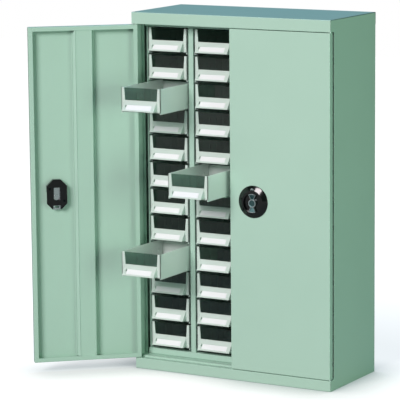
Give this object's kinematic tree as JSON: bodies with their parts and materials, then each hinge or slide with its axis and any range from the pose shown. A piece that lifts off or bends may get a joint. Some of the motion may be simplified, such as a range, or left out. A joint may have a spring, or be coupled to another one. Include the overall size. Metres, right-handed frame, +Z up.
{
  "type": "parts bin cabinet",
  "caption": "Sheet-steel cabinet with a rack of small sliding moulded drawers behind two hinged doors, each with a turn handle and latch.",
  "frame": {"origin": "middle of the cabinet's footprint, on the floor", "axes": "+X to the cabinet's right as seen from the front, +Y from the doors to the back sheet, +Z up"},
  "size_m": [0.7804, 0.4382, 0.937],
  "materials": {
    "cabinet_paint": "pale green stove enamel on sheet steel",
    "rack_paint": "pale green stove enamel on sheet steel",
    "runner_zinc": "zinc-plated folded steel",
    "pin_steel": "bright turned steel",
    "drawer_plastic": "pale grey-green moulded polystyrene",
    "lock_body": "glossy black moulded plastic",
    "handle_metal": "plated die-cast zinc",
    "latch_steel": "bright zinc-plated steel"
  },
  "bodies": {
    "cabinet": {"cabinet_shell": "cabinet_paint", "drawer_rack": "rack_paint", "drawer_runners": "runner_zinc", "hinge_pins": "pin_steel"},
    "left_door": {"left_door": "cabinet_paint", "left_lock": "lock_body"},
    "right_door": {"right_door": "cabinet_paint", "right_lock": "lock_body"},
    "left_handle": {"left_handle": "handle_metal", "left_latch": "latch_steel"},
    "right_handle": {"right_handle": "handle_metal", "right_latch": "latch_steel"},
    "drawer_c1_r01": {"drawer_c1_r01": "drawer_plastic"},
    "drawer_c1_r02": {"drawer_c1_r02": "drawer_plastic"},
    "drawer_c1_r03": {"drawer_c1_r03": "drawer_plastic"},
    "drawer_c1_r04": {"drawer_c1_r04": "drawer_plastic"},
    "drawer_c1_r05": {"drawer_c1_r05": "drawer_plastic"},
    "drawer_c1_r06": {"drawer_c1_r06": "drawer_plastic"},
    "drawer_c1_r07": {"drawer_c1_r07": "drawer_plastic"},
    "drawer_c1_r08": {"drawer_c1_r08": "drawer_plastic"},
    "drawer_c1_r09": {"drawer_c1_r09": "drawer_plastic"},
    "drawer_c1_r10": {"drawer_c1_r10": "drawer_plastic"},
    "drawer_c1_r11": {"drawer_c1_r11": "drawer_plastic"},
    "drawer_c1_r12": {"drawer_c1_r12": "drawer_plastic"},
    "drawer_c2_r01": {"drawer_c2_r01": "drawer_plastic"},
    "drawer_c2_r02": {"drawer_c2_r02": "drawer_plastic"},
    "drawer_c2_r03": {"drawer_c2_r03": "drawer_plastic"},
    "drawer_c2_r04": {"drawer_c2_r04": "drawer_plastic"},
    "drawer_c2_r05": {"drawer_c2_r05": "drawer_plastic"},
    "drawer_c2_r06": {"drawer_c2_r06": "drawer_plastic"},
    "drawer_c2_r07": {"drawer_c2_r07": "drawer_plastic"},
    "drawer_c2_r08": {"drawer_c2_r08": "drawer_plastic"},
    "drawer_c2_r09": {"drawer_c2_r09": "drawer_plastic"},
    "drawer_c2_r10": {"drawer_c2_r10": "drawer_plastic"},
    "drawer_c2_r11": {"drawer_c2_r11": "drawer_plastic"},
    "drawer_c2_r12": {"drawer_c2_r12": "drawer_plastic"},
    "drawer_c3_r01": {"drawer_c3_r01": "drawer_plastic"},
    "drawer_c3_r02": {"drawer_c3_r02": "drawer_plastic"},
    "drawer_c3_r03": {"drawer_c3_r03": "drawer_plastic"},
    "drawer_c3_r04": {"drawer_c3_r04": "drawer_plastic"},
    "drawer_c3_r05": {"drawer_c3_r05": "drawer_plastic"},
    "drawer_c3_r06": {"drawer_c3_r06": "drawer_plastic"},
    "drawer_c3_r07": {"drawer_c3_r07": "drawer_plastic"},
    "drawer_c3_r08": {"drawer_c3_r08": "drawer_plastic"},
    "drawer_c3_r09": {"drawer_c3_r09": "drawer_plastic"},
    "drawer_c3_r10": {"drawer_c3_r10": "drawer_plastic"},
    "drawer_c3_r11": {"drawer_c3_r11": "drawer_plastic"},
    "drawer_c3_r12": {"drawer_c3_r12": "drawer_plastic"},
    "drawer_c4_r01": {"drawer_c4_r01": "drawer_plastic"},
    "drawer_c4_r02": {"drawer_c4_r02": "drawer_plastic"},
    "drawer_c4_r03": {"drawer_c4_r03": "drawer_plastic"},
    "drawer_c4_r04": {"drawer_c4_r04": "drawer_plastic"},
    "drawer_c4_r05": {"drawer_c4_r05": "drawer_plastic"},
    "drawer_c4_r06": {"drawer_c4_r06": "drawer_plastic"},
    "drawer_c4_r07": {"drawer_c4_r07": "drawer_plastic"},
    "drawer_c4_r08": {"drawer_c4_r08": "drawer_plastic"},
    "drawer_c4_r09": {"drawer_c4_r09": "drawer_plastic"},
    "drawer_c4_r10": {"drawer_c4_r10": "drawer_plastic"},
    "drawer_c4_r11": {"drawer_c4_r11": "drawer_plastic"},
    "drawer_c4_r12": {"drawer_c4_r12": "drawer_plastic"}
  },
  "joints": [
    {"name": "left_door_hinge", "type": "hinge", "parent": "cabinet", "child": "left_door", "pos_m": [-0.28, -0.119, 0], "axis": [0, 0, -1], "range_deg": [-48.4, 41.6]},
    {"name": "right_door_hinge", "type": "hinge", "parent": "cabinet", "child": "right_door", "pos_m": [0.28, -0.119, 0], "axis": [0, 0, 1], "range_deg": [0, 180]},
    {"name": "right_handle_turn", "type": "hinge", "parent": "right_door", "child": "right_handle", "pos_m": [0.068, -0.1275, 0.466], "axis": [0, 1, 0], "range_deg": [0, 90]},
    {"name": "left_handle_turn", "type": "hinge", "parent": "left_door", "child": "left_handle", "pos_m": [-0.44418, -0.2534, 0.466], "axis": [-0.6639, 0.7478, 0], "range_deg": [0, 90]},
    {"name": "drawer_c1_r03_slide", "type": "slide", "parent": "cabinet", "child": "drawer_c1_r03", "axis": [0, -1, 0], "range_m": [-0.136, 0.014]},
    {"name": "drawer_c1_r09_slide", "type": "slide", "parent": "cabinet", "child": "drawer_c1_r09", "axis": [0, -1, 0], "range_m": [-0.145, 0.005]},
    {"name": "drawer_c2_r06_slide", "type": "slide", "parent": "cabinet", "child": "drawer_c2_r06", "axis": [0, -1, 0], "range_m": [-0.139, 0.011]},
    {"name": "drawer_c1_r01_slide", "type": "slide", "parent": "cabinet", "child": "drawer_c1_r01", "axis": [0, -1, 0], "range_m": [0, 0.15]},
    {"name": "drawer_c1_r02_slide", "type": "slide", "parent": "cabinet", "child": "drawer_c1_r02", "axis": [0, -1, 0], "range_m": [0, 0.15]},
    {"name": "drawer_c1_r04_slide", "type": "slide", "parent": "cabinet", "child": "drawer_c1_r04", "axis": [0, -1, 0], "range_m": [0, 0.15]},
    {"name": "drawer_c1_r05_slide", "type": "slide", "parent": "cabinet", "child": "drawer_c1_r05", "axis": [0, -1, 0], "range_m": [0, 0.15]},
    {"name": "drawer_c1_r06_slide", "type": "slide", "parent": "cabinet", "child": "drawer_c1_r06", "axis": [0, -1, 0], "range_m": [0, 0.15]},
    {"name": "drawer_c1_r07_slide", "type": "slide", "parent": "cabinet", "child": "drawer_c1_r07", "axis": [0, -1, 0], "range_m": [0, 0.15]},
    {"name": "drawer_c1_r08_slide", "type": "slide", "parent": "cabinet", "child": "drawer_c1_r08", "axis": [0, -1, 0], "range_m": [0, 0.15]},
    {"name": "drawer_c1_r10_slide", "type": "slide", "parent": "cabinet", "child": "drawer_c1_r10", "axis": [0, -1, 0], "range_m": [0, 0.15]},
    {"name": "drawer_c1_r11_slide", "type": "slide", "parent": "cabinet", "child": "drawer_c1_r11", "axis": [0, -1, 0], "range_m": [0, 0.15]},
    {"name": "drawer_c1_r12_slide", "type": "slide", "parent": "cabinet", "child": "drawer_c1_r12", "axis": [0, -1, 0], "range_m": [0, 0.15]},
    {"name": "drawer_c2_r01_slide", "type": "slide", "parent": "cabinet", "child": "drawer_c2_r01", "axis": [0, -1, 0], "range_m": [0, 0.15]},
    {"name": "drawer_c2_r02_slide", "type": "slide", "parent": "cabinet", "child": "drawer_c2_r02", "axis": [0, -1, 0], "range_m": [0, 0.15]},
    {"name": "drawer_c2_r03_slide", "type": "slide", "parent": "cabinet", "child": "drawer_c2_r03", "axis": [0, -1, 0], "range_m": [0, 0.15]},
    {"name": "drawer_c2_r04_slide", "type": "slide", "parent": "cabinet", "child": "drawer_c2_r04", "axis": [0, -1, 0], "range_m": [0, 0.15]},
    {"name": "drawer_c2_r05_slide", "type": "slide", "parent": "cabinet", "child": "drawer_c2_r05", "axis": [0, -1, 0], "range_m": [0, 0.15]},
    {"name": "drawer_c2_r07_slide", "type": "slide", "parent": "cabinet", "child": "drawer_c2_r07", "axis": [0, -1, 0], "range_m": [0, 0.15]},
    {"name": "drawer_c2_r08_slide", "type": "slide", "parent": "cabinet", "child": "drawer_c2_r08", "axis": [0, -1, 0], "range_m": [0, 0.15]},
    {"name": "drawer_c2_r09_slide", "type": "slide", "parent": "cabinet", "child": "drawer_c2_r09", "axis": [0, -1, 0], "range_m": [0, 0.15]},
    {"name": "drawer_c2_r10_slide", "type": "slide", "parent": "cabinet", "child": "drawer_c2_r10", "axis": [0, -1, 0], "range_m": [0, 0.15]},
    {"name": "drawer_c2_r11_slide", "type": "slide", "parent": "cabinet", "child": "drawer_c2_r11", "axis": [0, -1, 0], "range_m": [0, 0.15]},
    {"name": "drawer_c2_r12_slide", "type": "slide", "parent": "cabinet", "child": "drawer_c2_r12", "axis": [0, -1, 0], "range_m": [0, 0.15]},
    {"name": "drawer_c3_r01_slide", "type": "slide", "parent": "cabinet", "child": "drawer_c3_r01", "axis": [0, -1, 0], "range_m": [0, 0.01]},
    {"name": "drawer_c3_r02_slide", "type": "slide", "parent": "cabinet", "child": "drawer_c3_r02", "axis": [0, -1, 0], "range_m": [0, 0.01]},
    {"name": "drawer_c3_r03_slide", "type": "slide", "parent": "cabinet", "child": "drawer_c3_r03", "axis": [0, -1, 0], "range_m": [0, 0.01]},
    {"name": "drawer_c3_r04_slide", "type": "slide", "parent": "cabinet", "child": "drawer_c3_r04", "axis": [0, -1, 0], "range_m": [0, 0.01]},
    {"name": "drawer_c3_r05_slide", "type": "slide", "parent": "cabinet", "child": "drawer_c3_r05", "axis": [0, -1, 0], "range_m": [0, 0.01]},
    {"name": "drawer_c3_r06_slide", "type": "slide", "parent": "cabinet", "child": "drawer_c3_r06", "axis": [0, -1, 0], "range_m": [0, 0.01]},
    {"name": "drawer_c3_r07_slide", "type": "slide", "parent": "cabinet", "child": "drawer_c3_r07", "axis": [0, -1, 0], "range_m": [0, 0.01]},
    {"name": "drawer_c3_r08_slide", "type": "slide", "parent": "cabinet", "child": "drawer_c3_r08", "axis": [0, -1, 0], "range_m": [0, 0.01]},
    {"name": "drawer_c3_r09_slide", "type": "slide", "parent": "cabinet", "child": "drawer_c3_r09", "axis": [0, -1, 0], "range_m": [0, 0.01]},
    {"name": "drawer_c3_r10_slide", "type": "slide", "parent": "cabinet", "child": "drawer_c3_r10", "axis": [0, -1, 0], "range_m": [0, 0.01]},
    {"name": "drawer_c3_r11_slide", "type": "slide", "parent": "cabinet", "child": "drawer_c3_r11", "axis": [0, -1, 0], "range_m": [0, 0.01]},
    {"name": "drawer_c3_r12_slide", "type": "slide", "parent": "cabinet", "child": "drawer_c3_r12", "axis": [0, -1, 0], "range_m": [0, 0.01]},
    {"name": "drawer_c4_r01_slide", "type": "slide", "parent": "cabinet", "child": "drawer_c4_r01", "axis": [0, -1, 0], "range_m": [0, 0.01]},
    {"name": "drawer_c4_r02_slide", "type": "slide", "parent": "cabinet", "child": "drawer_c4_r02", "axis": [0, -1, 0], "range_m": [0, 0.01]},
    {"name": "drawer_c4_r03_slide", "type": "slide", "parent": "cabinet", "child": "drawer_c4_r03", "axis": [0, -1, 0], "range_m": [0, 0.01]},
    {"name": "drawer_c4_r04_slide", "type": "slide", "parent": "cabinet", "child": "drawer_c4_r04", "axis": [0, -1, 0], "range_m": [0, 0.01]},
    {"name": "drawer_c4_r05_slide", "type": "slide", "parent": "cabinet", "child": "drawer_c4_r05", "axis": [0, -1, 0], "range_m": [0, 0.01]},
    {"name": "drawer_c4_r06_slide", "type": "slide", "parent": "cabinet", "child": "drawer_c4_r06", "axis": [0, -1, 0], "range_m": [0, 0.01]},
    {"name": "drawer_c4_r07_slide", "type": "slide", "parent": "cabinet", "child": "drawer_c4_r07", "axis": [0, -1, 0], "range_m": [0, 0.01]},
    {"name": "drawer_c4_r08_slide", "type": "slide", "parent": "cabinet", "child": "drawer_c4_r08", "axis": [0, -1, 0], "range_m": [0, 0.01]},
    {"name": "drawer_c4_r09_slide", "type": "slide", "parent": "cabinet", "child": "drawer_c4_r09", "axis": [0, -1, 0], "range_m": [0, 0.01]},
    {"name": "drawer_c4_r10_slide", "type": "slide", "parent": "cabinet", "child": "drawer_c4_r10", "axis": [0, -1, 0], "range_m": [0, 0.01]},
    {"name": "drawer_c4_r11_slide", "type": "slide", "parent": "cabinet", "child": "drawer_c4_r11", "axis": [0, -1, 0], "range_m": [0, 0.01]},
    {"name": "drawer_c4_r12_slide", "type": "slide", "parent": "cabinet", "child": "drawer_c4_r12", "axis": [0, -1, 0], "range_m": [0, 0.01]}
  ]
}
